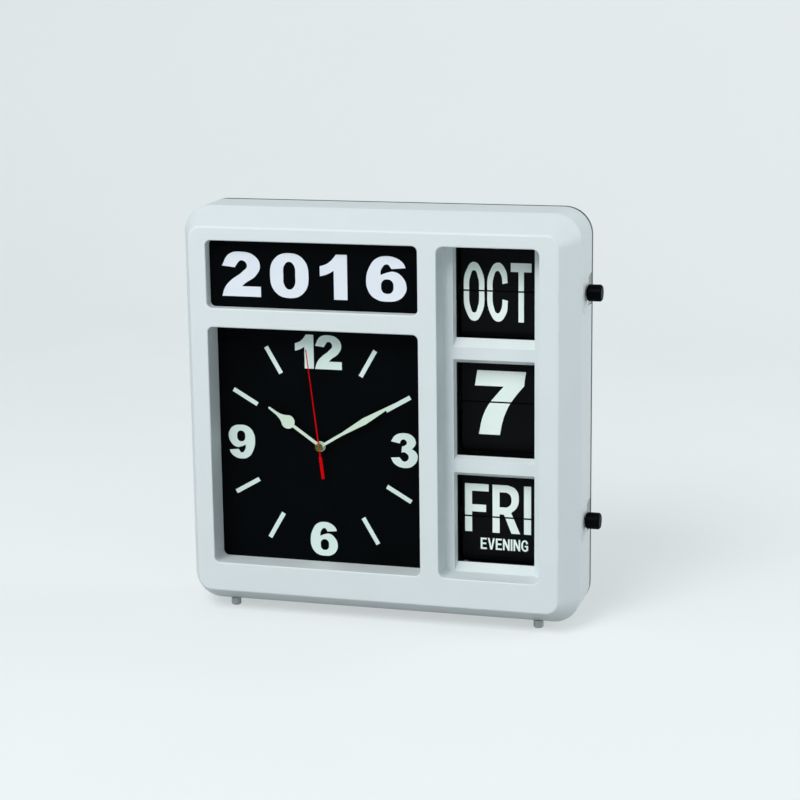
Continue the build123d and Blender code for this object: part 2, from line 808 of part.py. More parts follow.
# Hands
with BuildPart() as hour_hand:
    with BuildSketch(hand_plane(hour_hand_depth, hour_angle)):
        Circle(hour_hub_r)
        with Locations((hour_bulb_at / 2, 0)):
            Rectangle(hour_bulb_at, 2 * hour_stem_half)
        with Locations((hour_bulb_at, 0)):
            Circle(hour_bulb_r)
        over = cos(radians(hour_shoulder_angle))
        up = sin(radians(hour_shoulder_angle))
        shoulder_x = hour_bulb_at + hour_bulb_r * over
        shoulder_y = hour_bulb_r * up
        tip_x = hour_len - hour_tip_half
        with BuildLine():
            top = Spline(
                (shoulder_x, shoulder_y),
                (hour_neck_at, hour_neck_half),
                tangents=((up, -over), (1, -hour_neck_slope)),
            )
            top_edge = Line(top @ 1, (tip_x, hour_tip_half))
            tip = ThreePointArc(top_edge @ 1, (hour_len, 0), (tip_x, -hour_tip_half))
            low_edge = Line(tip @ 1, (hour_neck_at, -hour_neck_half))
            low = Spline(
                low_edge @ 1,
                (shoulder_x, -shoulder_y),
                tangents=((-1, -hour_neck_slope), (-up, -over)),
            )
            Line(low @ 1, top @ 0)
        make_face()
        Circle(hour_pipe_r + seat_play, mode=Mode.SUBTRACT)
    extrude(amount=hand_t)
save(hour_hand.part, "hour_hand")

with BuildPart() as minute_hand:
    with BuildSketch(hand_plane(minute_hand_depth, minute_angle)):
        Circle(minute_hub_r)
        Polygon(
            (0, -minute_stem_half),
            (minute_flare_at, -minute_stem_half),
            (minute_wide_at, -minute_wide_half),
            (minute_len, -minute_tip_half),
            (minute_len, minute_tip_half),
            (minute_wide_at, minute_wide_half),
            (minute_flare_at, minute_stem_half),
            (0, minute_stem_half),
            align=None,
        )
        Circle(minute_arbor_r + seat_play, mode=Mode.SUBTRACT)
    extrude(amount=hand_t)
save(minute_hand.part, "minute_hand")

with BuildPart() as second_hand:
    with BuildSketch(hand_plane(second_hand_depth, second_angle)):
        Circle(second_cap_r - second_cap_t)
        Polygon(
            (-second_tail, -second_half),
            (second_len, -second_tip_half),
            (second_len, second_tip_half),
            (-second_tail, second_half),
            align=None,
        )
        with Locations((second_weight_len / 2 - second_tail, 0)):
            RectangleRounded(second_weight_len, 2 * second_weight_half, second_weight_round)
        Circle(second_arbor_r + seat_play, mode=Mode.SUBTRACT)
    extrude(amount=hand_t)
save(second_hand.part, "second_hand")

# Calendar frame: two side plates on flanges, tied by rods, screwed to the back of the column floor
top_rod_z = month.z + month.reach_up + rod_gap + rod_r
low_rod_z = weekday.z - weekday.reach_down - rod_gap - rod_r
rod_heights = [
    top_rod_z,
    (month.z - month.reach_down + date.z + date.reach_up) / 2,
    (date.z - date.reach_down + weekday.z + weekday.reach_up) / 2,
    low_rod_z,
]
plate_top = top_rod_z + plate_margin
plate_bottom = low_rod_z - plate_margin
plate_h = plate_top - plate_bottom
plate_z = (plate_top + plate_bottom) / 2

for side, side_name in ((-1, "left"), (1, "right")):
    inner_x = column_x + side * plate_inner
    outer_x = column_x + side * plate_outer
    with BuildPart() as calendar_plate:
        with BuildSketch(side_plane(min(inner_x, outer_x), lip_depth + plate_depth / 2, plate_z)):
            Rectangle(plate_depth, plate_h)
        extrude(amount=plate_t)
        for z in (window_top - flange_inset, window_bottom + flange_inset):
            with BuildSketch(front_plane(lip_depth, outer_x + side * flange_w / 2, z)):
                Rectangle(flange_w, flange_h)
            extrude(amount=-flange_t)
        with BuildSketch(side_plane(min(inner_x, outer_x))):
            for module in modules:
                with Locations((module.depth, module.z)):
                    Circle(shaft_r + run_play)
            with Locations(*[(rod_depth, z) for z in rod_heights]):
                Circle(rod_end_r + seat_play)
        extrude(amount=plate_t, mode=Mode.SUBTRACT)
        with BuildSketch(front_plane(lip_depth)):
            with Locations(*flange_spots):
                Circle(frame_screw_r + screw_play)
        extrude(amount=-flange_t, mode=Mode.SUBTRACT)
    save(calendar_plate.part, f"calendar_plate_{side_name}")

with BuildPart() as calendar_tie_rods:
    with BuildSketch(side_plane(column_x - plate_inner)):
        with Locations(*[(rod_depth, z) for z in rod_heights]):
            Circle(rod_r)
    extrude(amount=2 * plate_inner)
    with BuildSketch(side_plane(column_x - plate_outer)):
        with Locations(*[(rod_depth, z) for z in rod_heights]):
            Circle(rod_end_r)
    extrude(amount=2 * plate_outer)
save(calendar_tie_rods.part, "calendar_tie_rods")

with BuildPart() as calendar_screws:
    with BuildSketch(front_plane(lip_depth + flange_t)):
        with Locations(*flange_spots):
            Circle(frame_screw_r)
    extrude(amount=frame_screw_len)
    with BuildSketch(front_plane(lip_depth + flange_t)):
        with Locations(*flange_spots):
            Circle(frame_head_r)
    extrude(amount=-frame_head_t)
save(calendar_screws.part, "calendar_screws")

# Catches that hang just above the top edge of each waiting leaf
catch_back = leaf_plane_depth - catch_stand
with BuildPart() as leaf_catches:
    for module in modules:
        lip_low = module.leaf_top + catch_play
        with BuildSketch(side_plane(column_x - catch_w / 2)):
            Polygon(
                (lip_depth, lip_low + catch_lip),
                (catch_back - catch_t, lip_low + catch_lip),
                (catch_back - catch_t, lip_low),
                (catch_back, lip_low),
                (catch_back, lip_low + catch_lip + catch_arm_t),
                (lip_depth, lip_low + catch_lip + catch_arm_t),
                align=None,
            )
        extrude(amount=catch_w)
save(leaf_catches.part, "leaf_catches")

# Drums, shafts and leaves
knob_end = case_w / 2 + knob_gap
gear_right = column_x - plate_outer - drive_gear_gap
gear_left = gear_right - drive_gear_t
for module in modules:
    shaft_start = gear_left if module is weekday else column_x - plate_outer
    shaft_end = knob_end + knob_bore if module in knob_modules else column_x + plate_outer
    with BuildPart() as drum_shaft:
        with BuildSketch(side_plane(shaft_start, module.depth, module.z)):
            Circle(shaft_r)
        extrude(amount=shaft_end - shaft_start)
    save(drum_shaft.part, f"{module.name}_shaft")

    with BuildPart() as drum:
        with BuildSketch(side_plane(column_x - disc_outer, module.depth, module.z)):
            Circle(module.pin_circle_r - core_inset)
        extrude(amount=2 * disc_outer)
        discs = [side_plane(column_x + x, module.depth, module.z) for x in (-disc_outer, disc_inner)]
        with BuildSketch(*discs):
            Circle(module.pin_circle_r + disc_rim)
            with PolarLocations(module.pin_circle_r, module.leaves, start_angle=180 - module.step / 2):
                Circle(module.pin_r + pin_play, mode=Mode.SUBTRACT)
        extrude(amount=disc_t)
        with BuildSketch(side_plane(column_x - disc_outer, module.depth, module.z)):
            Circle(shaft_r + seat_play)
        extrude(amount=2 * disc_outer, mode=Mode.SUBTRACT)
    save(drum.part, f"{module.name}_drum")

    waiting = module.upper_planes(0)
    fallen = module.lower_planes(0)
    leaf_groups = {
        f"{module.name}_upper_leaf": waiting[:1],
        f"{module.name}_lower_leaf": fallen[:1],
        f"{module.name}_leaves": waiting[1:] + fallen[1:],
    }
    for node, planes in leaf_groups.items():
        with BuildPart() as leaf_set:
            for plane in planes:
                with BuildSketch(plane.offset(leaf_left)):
                    with Locations(((leaf_len - module.tail) / 2, 0)):
                        Rectangle(leaf_len + module.tail, module.leaf_t)
                extrude(amount=leaf_w)
                pin_starts = (leaf_left - pin_reach, leaf_left + leaf_w - pin_grip)
                with BuildSketch(*[plane.offset(start) for start in pin_starts]):
                    Circle(module.pin_r)
                extrude(amount=pin_reach + pin_grip)
        save(leaf_set.part, node)

# Setting knobs on the ends of the month and weekday shafts
for module in knob_modules:
    with BuildPart() as knob:
        with BuildSketch(side_plane(knob_end, module.depth, module.z)):
            Circle(knob_r)
        extrude(amount=knob_len)
        chamfer(knob.edges().filter_by(GeomType.CIRCLE), knob_bevel)
        with BuildSketch(side_plane(knob_end, module.depth, module.z)):
            Circle(shaft_r + seat_play)
        extrude(amount=knob_bore, mode=Mode.SUBTRACT)
    save(knob.part, f"{module.name}_knob")

# Calendar drive: a gear on the weekday shaft, turned by a pinion from a gearbox on the left plate
drive_offset = drive_module * (drive_gear_teeth + drive_pinion_teeth) / 2
pinion_z = weekday.z + drive_offset
with BuildPart() as weekday_gear:
    with BuildSketch(side_plane(gear_left, weekday.depth, weekday.z)):
        gear_face(drive_gear_teeth, drive_module, 90)
        Circle(shaft_r + seat_play, mode=Mode.SUBTRACT)
    extrude(amount=drive_gear_t)
save(weekday_gear.part, "weekday_gear")

drive_box_right = gear_left - drive_box_gap
with BuildPart() as drive_pinion:
    with BuildSketch(side_plane(gear_left, weekday.depth, pinion_z)):
        gear_face(drive_pinion_teeth, drive_module, 270 + 180 / drive_pinion_teeth)
    extrude(amount=drive_gear_t)
    with BuildSketch(side_plane(drive_box_right - drive_arbor_sink, weekday.depth, pinion_z)):
        Circle(drive_arbor_r)
    extrude(amount=drive_arbor_sink + drive_box_gap)
save(drive_pinion.part, "drive_pinion")

drive_box_z0 = pinion_z + drive_box_z / 2 - drive_post_inset - drive_post_r
drive_posts = [
    (side * (drive_box_y / 2 - drive_post_inset), drive_box_z / 2 - drive_post_inset)
    for side in (-1, 1)
]
with BuildPart() as drive_unit:
    with BuildSketch(side_plane(drive_box_right, weekday.depth, drive_box_z0)):
        Rectangle(drive_box_y, drive_box_z)
    extrude(amount=-drive_box_x)
    fillet(drive_unit.edges().filter_by(Axis.X), drive_box_round)
    with BuildSketch(side_plane(drive_box_right, weekday.depth, drive_box_z0)):
        with Locations(*drive_posts):
            Circle(drive_post_r)
    extrude(amount=drive_box_gap + drive_gear_t + drive_gear_gap)
    with BuildSketch(side_plane(drive_box_right, weekday.depth, pinion_z)):
        Circle(drive_arbor_r + run_play)
    extrude(amount=-(drive_arbor_sink + seat_play), mode=Mode.SUBTRACT)
save(drive_unit.part, "drive_unit")
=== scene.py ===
import json
from math import cos, pi, radians, sin

import bmesh
import bpy
from mathutils import Matrix, Vector


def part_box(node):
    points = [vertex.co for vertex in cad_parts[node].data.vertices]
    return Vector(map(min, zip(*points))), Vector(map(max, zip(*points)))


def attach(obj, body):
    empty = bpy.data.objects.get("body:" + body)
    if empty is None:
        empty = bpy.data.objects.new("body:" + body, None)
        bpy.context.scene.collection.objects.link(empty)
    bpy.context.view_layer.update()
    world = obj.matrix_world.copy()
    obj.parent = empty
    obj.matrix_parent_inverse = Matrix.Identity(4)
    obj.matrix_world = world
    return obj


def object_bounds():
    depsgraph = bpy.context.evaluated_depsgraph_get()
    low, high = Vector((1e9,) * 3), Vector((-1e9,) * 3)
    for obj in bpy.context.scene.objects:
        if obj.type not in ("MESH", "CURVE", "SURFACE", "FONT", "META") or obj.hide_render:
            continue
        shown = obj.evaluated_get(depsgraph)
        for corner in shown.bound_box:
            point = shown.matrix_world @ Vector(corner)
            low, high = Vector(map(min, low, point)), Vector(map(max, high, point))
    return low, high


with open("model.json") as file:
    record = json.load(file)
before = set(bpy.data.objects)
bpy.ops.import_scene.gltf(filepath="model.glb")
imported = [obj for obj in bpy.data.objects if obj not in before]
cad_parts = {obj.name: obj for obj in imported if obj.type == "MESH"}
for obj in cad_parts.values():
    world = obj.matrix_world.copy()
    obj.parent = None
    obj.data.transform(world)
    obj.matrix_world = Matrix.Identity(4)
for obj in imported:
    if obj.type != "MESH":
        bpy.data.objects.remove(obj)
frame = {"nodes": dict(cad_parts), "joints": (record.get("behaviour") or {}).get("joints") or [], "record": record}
cad_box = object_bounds()
nodes = frame["nodes"]
joints = {joint["name"]: joint for joint in frame["joints"]}
scene = bpy.context.scene

MM = 0.001

# Camera, from the fit of the face's straight edges in the photograph
CAMERA_AT = (0.46485, -1.6200, 0.55045)
CAMERA_YAW = -15.86
CAMERA_PITCH = -12.49
CAMERA_ROLL = 0.71
FOCAL_PX = 2141.5
PHOTO_PX = 800
SENSOR_MM = 36.0

# Lights: name, place and size in metres, power in watts and colour
LIGHTS = (
    ("key", (-0.62, -2.3, 2.45), 1.7, 73, (1.0, 0.995, 0.98)),
    ("fill_left", (-1.8, -1.4, 0.7), 1.2, 8, (1, 1, 1)),
    ("fill_right", (1.9, 0.7, 0.7), 1.6, 17, (1, 1, 1)),
    ("fill_front", (1.6, -1.6, 0.4), 1.0, 6, (1, 1, 1)),
)
WORLD_COLOR = (0.77, 0.91, 1.0, 1)
WORLD_STRENGTH = 0.3

# Floor that bends up into a backdrop, in metres
STAGE_REACH = 4.0
STAGE_BEND_FROM = 1.1
STAGE_BEND_R = 0.9
STAGE_BEND_STEPS = 12
STAGE_GLOW = (0.93, 0.98, 0.98, 1)
STAGE_LIFT = 0.53
FAR_FLOOR_REACH = 40.0
FAR_FLOOR_Z = -MM

# Surface detail that all materials share
NOISE_LOW = 0.3
NOISE_HIGH = 0.7
PATCH_DETAIL = 3.0
GRAIN_DETAIL = 2.0
GRAIN_DEPTH = 0.1 * MM
GLOSS_PER_COLOR_PATCH = 4
COAT_ROUGH = 0.12

# Printed marks: left, right, bottom and top in millimetres from the middle of their panel or leaf pair
PRINT_T = 0.06
PRINT_CURVE_STEPS = 8
YEAR_DIGITS = (("2", -76.9, -44.2), ("0", -36.2, -4.2), ("1", 5.2, 27.7), ("6", 43.2, 76.0))
YEAR_BOTTOM = -18.5
YEAR_TOP = 17.4
DIAL_DIGITS = (
    ("1", -21.2, -5.5, 62.7, 90.5),
    ("2", -4.5, 17.9, 62.7, 90.5),
    ("3", 57.7, 80.0, -15.0, 13.6),
    ("6", -11.3, 11.7, -92.8, -64.2),
)
NINE_BOX = (-79.9, -57.3, -14.9, 13.4)
HOUR_DEG = 30
BAR_W = 3.6
BAR_REACH = {1: (67.0, 91.8), 2: (62.6, 85.9), 4: (62.6, 85.9), 5: (67.8, 92.4),
             7: (67.8, 92.4), 8: (62.6, 85.9), 10: (62.6, 85.9), 11: (66.8, 91.4)}
MONTH_BOX = (-27.3, 27.1, -24.2, 22.6)
DATE_BOX = (-18.7, 22.8, -26.5, 25.4)
WEEKDAY_BOX = (-27.3, 26.9, -13.0, 26.8)
HALF_DAY_BOX = (-14.5, 24.5, -27.2, -17.7)
PRINT_SPLIT = 1.3
LEAF_T = {"month": 0.4, "date": 0.25, "weekday": 0.4}

# Outlines of heavy figures and tall letters, in hundredths of their height
GLYPH_H = 100
LETTER_GAP = 14
RING_ANCHORS = 8
SMOOTH = "AUTO"
SHARP = "VECTOR"


def ring(x, z, rx, rz, power=2.35):
    """Smooth anchors of a squarish oval."""
    anchors = []
    for step in range(RING_ANCHORS):
        c = cos(step * 2 * pi / RING_ANCHORS)
        s = sin(step * 2 * pi / RING_ANCHORS)
        across = abs(c) ** (2 / power) * (1 if c > 0 else -1)
        up = abs(s) ** (2 / power) * (1 if s > 0 else -1)
        anchors.append((x + rx * across, z + rz * up, SMOOTH))
    return anchors


FIGURES = {
    "0": [ring(45, 50, 45, 50), ring(45, 50, 14, 31, power=2.6)],
    "1": [[(0, 73), (17, 79, SMOOTH), (28, 87, SMOOTH), (39, 100), (65, 100), (65, 0), (33, 0), (33, 64),
           (18, 56, SMOOTH), (0, 51)]],
    "2": [[(0, 0), (7, 19, SMOOTH), (21, 35, SMOOTH), (49, 55, SMOOTH), (61, 70, SMOOTH), (48, 81, SMOOTH),
           (35, 70, SMOOTH), (32, 65), (1, 68), (18, 94, SMOOTH), (49, 100, SMOOTH), (80, 91, SMOOTH),
           (92, 70, SMOOTH), (82, 48, SMOOTH), (56, 30, SMOOTH), (48, 23), (93, 23), (93, 0)]],
    "3": [[(1, 75), (27, 70), (29, 77, SMOOTH), (38, 82, SMOOTH), (47, 73, SMOOTH), (39, 63, SMOOTH),
           (33, 62), (31, 44), (40, 45, SMOOTH), (52, 31, SMOOTH), (39, 18, SMOOTH), (29, 25, SMOOTH),
           (26, 30), (0, 28), (10, 11, SMOOTH), (39, 0, SMOOTH), (65, 8, SMOOTH), (78, 33, SMOOTH),
           (72, 48, SMOOTH), (61, 55), (70, 65, SMOOTH), (73, 76, SMOOTH), (63, 93, SMOOTH),
           (38, 100, SMOOTH), (13, 92, SMOOTH)]],
    "6": [[(88, 75), (57, 72), (47, 82, SMOOTH), (34, 71, SMOOTH), (32, 58), (48, 64, SMOOTH),
           (62, 66, SMOOTH), (79, 57, SMOOTH), (90, 33, SMOOTH), (86, 18, SMOOTH), (73, 5, SMOOTH),
           (48, 0, SMOOTH), (23, 4, SMOOTH), (6, 19, SMOOTH), (0, 48, SMOOTH), (9, 78, SMOOTH),
           (23, 94, SMOOTH), (48, 100, SMOOTH), (70, 95, SMOOTH), (84, 84, SMOOTH)],
          ring(47, 33, 14, 16)],
    "7": [[(4, 100), (80, 100), (78, 88, SMOOTH), (77, 78), (63, 61, SMOOTH), (51, 42, SMOOTH),
           (43, 20, SMOOTH), (39, 0), (6, 0), (12, 27, SMOOTH), (22, 48, SMOOTH), (33, 62, SMOOTH),
           (45, 76), (0, 76)]],
    "8": [[(40, 100, SMOOTH), (67, 93, SMOOTH), (76, 75, SMOOTH), (66, 53, SMOOTH), (80, 28, SMOOTH),
           (69, 6, SMOOTH), (40, 0, SMOOTH), (11, 6, SMOOTH), (0, 28, SMOOTH), (14, 53, SMOOTH),
           (4, 75, SMOOTH), (13, 93, SMOOTH)],
          ring(40, 75, 10, 11), ring(40, 27, 12, 13)],
}
LETTERS = {
    "A": [[(0, 0), (26, 0), (33, 21), (67, 21), (74, 0), (100, 0), (64, 100), (36, 100)],
          [(38, 36), (62, 36), (50, 74)]],
    "C": [[(99, 66), (74, 64), (66, 80, SMOOTH), (50, 86, SMOOTH), (32, 76, SMOOTH), (26, 50, SMOOTH),
           (32, 24, SMOOTH), (50, 14, SMOOTH), (67, 21, SMOOTH), (74, 38), (100, 36), (88, 11, SMOOTH),
           (52, 0, SMOOTH), (14, 14, SMOOTH), (0, 50, SMOOTH), (14, 86, SMOOTH), (52, 100, SMOOTH),
           (86, 90, SMOOTH)]],
    "E": [[(0, 0), (88, 0), (88, 15), (26, 15), (26, 43), (80, 43), (80, 58), (26, 58), (26, 85), (86, 85),
           (86, 100), (0, 100)]],
    "F": [[(0, 0), (26, 0), (26, 42), (78, 42), (78, 57), (26, 57), (26, 85), (88, 85), (88, 100), (0, 100)]],
    "G": [[(97, 68), (72, 66), (64, 81, SMOOTH), (50, 86, SMOOTH), (32, 76, SMOOTH), (26, 50, SMOOTH),
           (32, 24, SMOOTH), (54, 14, SMOOTH), (74, 20), (74, 38), (52, 38), (52, 52), (98, 52), (98, 11),
           (54, 0, SMOOTH), (14, 14, SMOOTH), (0, 50, SMOOTH), (14, 86, SMOOTH), (52, 100, SMOOTH),
           (84, 91, SMOOTH)]],
    "I": [[(0, 0), (26, 0), (26, 100), (0, 100)]],
    "M": [[(0, 0), (23, 0), (23, 70), (47, 0), (73, 0), (97, 70), (97, 0), (120, 0), (120, 100), (85, 100),
           (60, 30), (35, 100), (0, 100)]],
    "N": [[(0, 0), (24, 0), (24, 62), (70, 0), (96, 0), (96, 100), (72, 100), (72, 38), (26, 100), (0, 100)]],
    "O": [ring(50, 50, 50, 50, power=2.2), ring(50, 50, 24, 36, power=2.2)],
    "R": [[(0, 0), (26, 0), (26, 39), (42, 39), (70, 0), (102, 0), (69, 43), (90, 55, SMOOTH),
           (97, 71, SMOOTH), (87, 92, SMOOTH), (58, 100), (0, 100)],
          [(26, 54), (52, 54), (65, 59, SMOOTH), (70, 69, SMOOTH), (65, 80, SMOOTH), (52, 85), (26, 85)]],
    "S": [[(93, 70), (67, 70), (60, 83, SMOOTH), (46, 86, SMOOTH), (31, 78, SMOOTH), (36, 67, SMOOTH),
           (62, 58, SMOOTH), (88, 46, SMOOTH), (97, 28, SMOOTH), (84, 8, SMOOTH), (48, 0, SMOOTH),
           (12, 9, SMOOTH), (0, 32), (26, 33), (33, 18, SMOOTH), (50, 14, SMOOTH), (69, 22, SMOOTH),
           (62, 38, SMOOTH), (34, 48, SMOOTH), (9, 60, SMOOTH), (3, 75, SMOOTH), (14, 93, SMOOTH),
           (48, 100, SMOOTH), (82, 93, SMOOTH)]],
    "T": [[(0, 85), (37, 85), (37, 0), (63, 0), (63, 85), (100, 85), (100, 100), (0, 100)]],
    "V": [[(36, 0), (64, 0), (100, 100), (74, 100), (50, 26), (26, 100), (0, 100)]],
}


def glyph_width(glyph):
    return max(anchor[0] for outline in glyph for anchor in outline)


def set_glyph(glyph, left, right, bottom, top, turned=False):
    """A glyph's outlines stretched to a box in millimetres, or turned by a half turn in it."""
    width = glyph_width(glyph)
    placed = []
    for outline in glyph:
        anchors = []
        for x, z, *kind in outline:
            across = 1 - x / width if turned else x / width
            up = 1 - z / GLYPH_H if turned else z / GLYPH_H
            anchors.append((left + (right - left) * across, bottom + (top - bottom) * up, *kind))
        placed.append(anchors)
    return placed


def set_word(word, left, right, bottom, top):
    """A word's outlines, spread over a box in millimetres."""
    widths = [glyph_width(LETTERS[letter]) for letter in word]
    scale = (right - left) / (sum(widths) + LETTER_GAP * (len(word) - 1))
    placed = []
    at = left
    for letter, width in zip(word, widths):
        placed += set_glyph(LETTERS[letter], at, at + width * scale, bottom, top)
        at += (width + LETTER_GAP) * scale
    return placed


def print_mesh(name, outlines):
    """Thin filled mesh of outlines, standing upright with its front to -Y, in metres."""
    curve = bpy.data.curves.new(name, "CURVE")
    curve.dimensions = "2D"
    curve.fill_mode = "BOTH"
    curve.resolution_u = PRINT_CURVE_STEPS
    curve.extrude = PRINT_T / 2
    for outline in outlines:
        spline = curve.splines.new("BEZIER")
        spline.bezier_points.add(len(outline) - 1)
        spline.use_cyclic_u = True
        for point, (x, z, *kind) in zip(spline.bezier_points, outline):
            point.handle_left_type = point.handle_right_type = kind[0] if kind else SHARP
            point.co = (x, z, 0)
    sketch = bpy.data.objects.new(name, curve)
    scene.collection.objects.link(sketch)
    bpy.context.view_layer.update()
    mesh = bpy.data.meshes.new_from_object(sketch)
    bpy.data.objects.remove(sketch)
    bpy.data.curves.remove(curve)
    mesh.transform(Matrix.Rotation(pi / 2, 4, "X"))
    mesh.transform(Matrix.Scale(MM, 4))
    return mesh


def cut_mesh(mesh, height, keep_above):
    """The part of a mesh above or below a height, as a new mesh."""
    shape = bmesh.new()
    shape.from_mesh(mesh)
    everything = shape.verts[:] + shape.edges[:] + shape.faces[:]
    bmesh.ops.bisect_plane(shape, geom=everything, plane_co=(0, 0, height), plane_no=(0, 0, 1),
                           clear_inner=keep_above, clear_outer=not keep_above)
    part = bpy.data.meshes.new(mesh.name)
    shape.to_mesh(part)
    shape.free()
    return part


# Materials
def noise(tree, scale, detail):
    place = tree.nodes.new("ShaderNodeTexCoord")
    texture = tree.nodes.new("ShaderNodeTexNoise")
    texture.inputs["Scale"].default_value = scale
    texture.inputs["Detail"].default_value = detail
    tree.links.new(place.outputs["Object"], texture.inputs["Vector"])
    return texture.outputs["Fac"]


def spread(tree, value, low, high):
    """Maps the useful middle of a noise value to a range."""
    node = tree.nodes.new("ShaderNodeMapRange")
    node.inputs["From Min"].default_value = NOISE_LOW
    node.inputs["From Max"].default_value = NOISE_HIGH
    node.inputs["To Min"].default_value = low
    node.inputs["To Max"].default_value = high
    tree.links.new(value, node.inputs["Value"])
    return node.outputs["Result"]


def mottle(tree, value, dark, light):
    """Maps the useful middle of a noise value to two colours and those between."""
    ramp = tree.nodes.new("ShaderNodeValToRGB")
    first, last = ramp.color_ramp.elements
    first.position = NOISE_LOW
    first.color = (*dark, 1)
    last.position = NOISE_HIGH
    last.color = (*light, 1)
    tree.links.new(value, ramp.inputs["Fac"])
    return ramp.outputs["Color"]


def moulded(name, dark, light, rough, grain, relief, metallic=0.0, coat=0.0, gloss=0.5, patch=25.0):
    """Moulded plastic, paint or metal: soft patches of colour, uneven gloss and a fine surface grain."""
    material = bpy.data.materials.new(name)
    material.use_nodes = True
    tree = material.node_tree
    shader = tree.nodes["Principled BSDF"]
    color_patches = noise(tree, patch, PATCH_DETAIL)
    gloss_patches = noise(tree, patch * GLOSS_PER_COLOR_PATCH, PATCH_DETAIL)
    tree.links.new(mottle(tree, color_patches, dark, light), shader.inputs["Base Color"])
    tree.links.new(spread(tree, gloss_patches, *rough), shader.inputs["Roughness"])
    bump = tree.nodes.new("ShaderNodeBump")
    bump.inputs["Strength"].default_value = relief
    bump.inputs["Distance"].default_value = GRAIN_DEPTH
    tree.links.new(noise(tree, grain, GRAIN_DETAIL), bump.inputs["Height"])
    tree.links.new(bump.outputs["Normal"], shader.inputs["Normal"])
    shader.inputs["Metallic"].default_value = metallic
    shader.inputs["Specular IOR Level"].default_value = gloss
    shader.inputs["Coat Weight"].default_value = coat
    shader.inputs["Coat Roughness"].default_value = COAT_ROUGH
    return material


housing_white = moulded("housing_white", (0.705, 0.765, 0.775), (0.72, 0.78, 0.79), (0.36, 0.42),
                        grain=2500, relief=0.004, gloss=0.25)
cover_black = moulded("cover_black", (0.015, 0.015, 0.017), (0.0185, 0.0185, 0.021), (0.54, 0.62),
                      grain=2200, relief=0.35, patch=90)
plug_grey = moulded("plug_grey", (0.26, 0.32, 0.31), (0.31, 0.37, 0.36), (0.4, 0.55),
                    grain=1800, relief=0.1)
panel_black = moulded("panel_black", (0.0008, 0.0014, 0.0019), (0.0016, 0.0024, 0.003), (0.5, 0.62),
                      grain=3000, relief=0.04, gloss=0.02)
leaf_black = moulded("leaf_black", (0.0016, 0.0022, 0.0026), (0.0028, 0.0034, 0.0038), (0.38, 0.5),
                     grain=1200, relief=0.05, gloss=0.05)
catch_grey = moulded("catch_grey", (0.014, 0.018, 0.02), (0.022, 0.026, 0.028), (0.35, 0.45),
                     grain=1800, relief=0.1, gloss=0.3)
knob_black = moulded("knob_black", (0.0012, 0.0016, 0.002), (0.0026, 0.003, 0.0036), (0.3, 0.42),
                     grain=2500, relief=0.1, gloss=0.015)
movement_black = moulded("movement_black", (0.006, 0.006, 0.007), (0.012, 0.012, 0.013), (0.45, 0.62),
                         grain=2500, relief=0.3, gloss=0.25)
frame_natural = moulded("frame_natural", (0.62, 0.61, 0.56), (0.70, 0.69, 0.64), (0.38, 0.5),
                        grain=1600, relief=0.08)
foot_pale = moulded("foot_pale", (0.42, 0.45, 0.45), (0.52, 0.55, 0.55), (0.45, 0.65),
                    grain=1500, relief=0.15)
hand_cream = moulded("hand_cream", (0.60, 0.74, 0.60), (0.65, 0.78, 0.65), (0.45, 0.55),
                     grain=2000, relief=0.03)
hand_red = moulded("hand_red", (0.54, 0.0006, 0.0015), (0.64, 0.001, 0.0025), (0.4, 0.5),
                   grain=2000, relief=0.03, gloss=0.03)
print_year = moulded("print_year", (0.73, 0.78, 0.85), (0.77, 0.82, 0.89), (0.5, 0.6),
                     grain=2500, relief=0.03)
print_dial = moulded("print_dial", (0.66, 0.80, 0.75), (0.70, 0.84, 0.79), (0.5, 0.6),
                     grain=2500, relief=0.03)
print_leaf = moulded("print_leaf", (0.84, 0.96, 0.90), (0.88, 0.98, 0.93), (0.5, 0.6),
                     grain=2500, relief=0.03)
brass = moulded("brass", (0.012, 0.009, 0.004), (0.27, 0.19, 0.055), (0.1, 0.2),
                grain=1800, relief=0.1, metallic=1.0, patch=600)
zinc = moulded("zinc", (0.50, 0.51, 0.53), (0.62, 0.63, 0.64), (0.28, 0.42),
               grain=1500, relief=0.1, metallic=1.0)
tinned = moulded("tinned", (0.62, 0.62, 0.60), (0.74, 0.74, 0.72), (0.2, 0.32),
                 grain=1500, relief=0.08, metallic=1.0)
cell_jacket = moulded("cell_jacket", (0.05, 0.07, 0.11), (0.08, 0.10, 0.15), (0.25, 0.35),
                      grain=900, relief=0.03, coat=0.3)
stage_pale = moulded("stage_pale", (0.355, 0.38, 0.39), (0.375, 0.40, 0.41), (0.7, 0.85),
                     grain=300, relief=0.02, patch=2.0)

FINISH = {
    "white_case": housing_white,
    "black_cover": cover_black,
    "grey_plastic": plug_grey,
    "year_card": panel_black,
    "dial_black": panel_black,
    "leaf_black": leaf_black,
    "foot_plastic": foot_pale,
    "black_knob": knob_black,
    "movement_black": movement_black,
    "frame_plastic": frame_natural,
    "hand_white": hand_cream,
    "hand_red": hand_red,
    "brass": brass,
    "zinc_steel": zinc,
    "tinned_spring": tinned,
    "cell_jacket": cell_jacket,
}


def dress_nodes():
    for subpart in frame["record"]["subparts"]:
        mesh = nodes[subpart["node"]].data
        mesh.materials.clear()
        mesh.materials.append(FINISH[subpart["material_slot"]])
    nodes["leaf_catches"].data.materials[0] = catch_grey


# Printed marks
def add_mark(name, mesh, body, material):
    piece = bpy.data.objects.new(name, mesh)
    scene.collection.objects.link(piece)
    mesh.materials.clear()
    mesh.materials.append(material)
    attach(piece, body)


def panel_front(node):
    low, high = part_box(node)
    return Vector(((low.x + high.x) / 2, low.y, (low.z + high.z) / 2))


def add_panel_mark(name, outlines, place, material):
    mesh = print_mesh(name, outlines)
    mesh.transform(Matrix.Translation(place))
    add_mark(name, mesh, "case", material)


